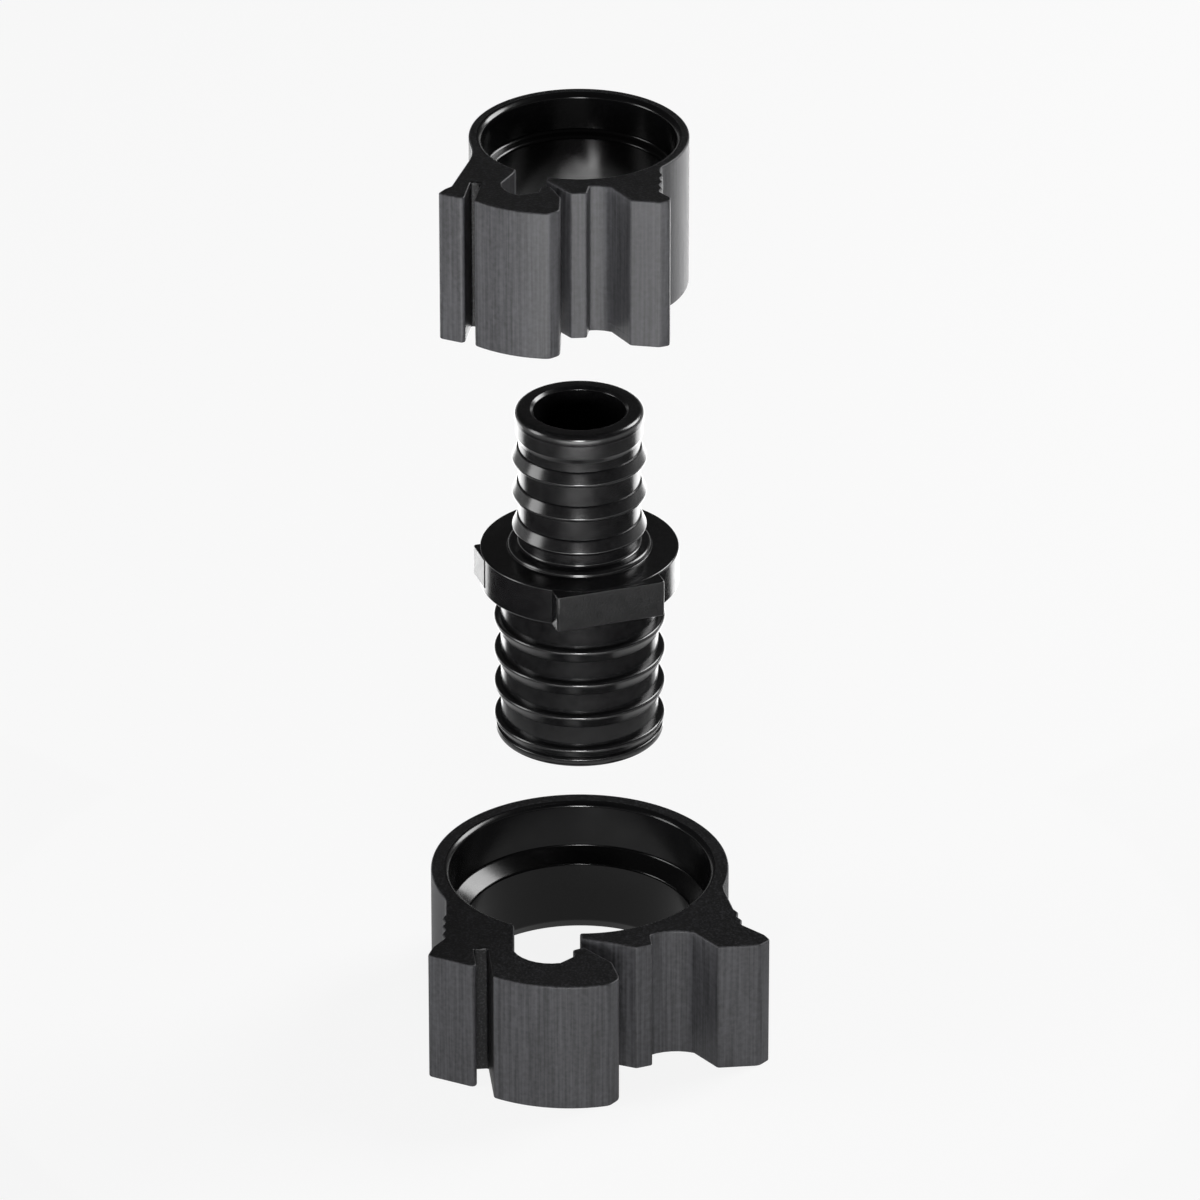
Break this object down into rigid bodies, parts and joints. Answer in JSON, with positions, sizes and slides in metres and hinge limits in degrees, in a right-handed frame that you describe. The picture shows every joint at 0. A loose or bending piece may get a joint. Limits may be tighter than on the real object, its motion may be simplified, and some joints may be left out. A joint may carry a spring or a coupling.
{
  "type": "pex reducing coupling",
  "caption": "Barbed reducing coupling for flexible pipe, with a flanged collar and a one-piece snap clamp drawn off each end.",
  "frame": {"origin": "on the waterway's axis, level with the collar's lower face", "axes": "+Z along the waterway, from the large end to the small end; the clamps' latches face -Y"},
  "size_m": [0.045, 0.0521, 0.1265],
  "materials": {
    "coupling_plastic": "semi-gloss moulded",
    "clamp_plastic": "matte moulded, with glossy bores"
  },
  "bodies": {
    "coupling": {"coupling_body": "coupling_plastic"},
    "small_clamp": {"small_clamp": "clamp_plastic"},
    "large_clamp": {"large_clamp": "clamp_plastic"}
  },
  "joints": [
    {"name": "small_clamp_slide", "type": "slide", "parent": "coupling", "child": "small_clamp", "axis": [0, 0, -1], "range_m": [0, 0.0374]},
    {"name": "large_clamp_slide", "type": "slide", "parent": "coupling", "child": "large_clamp", "axis": [0, 0, 1], "range_m": [0, 0.0497]}
  ]
}
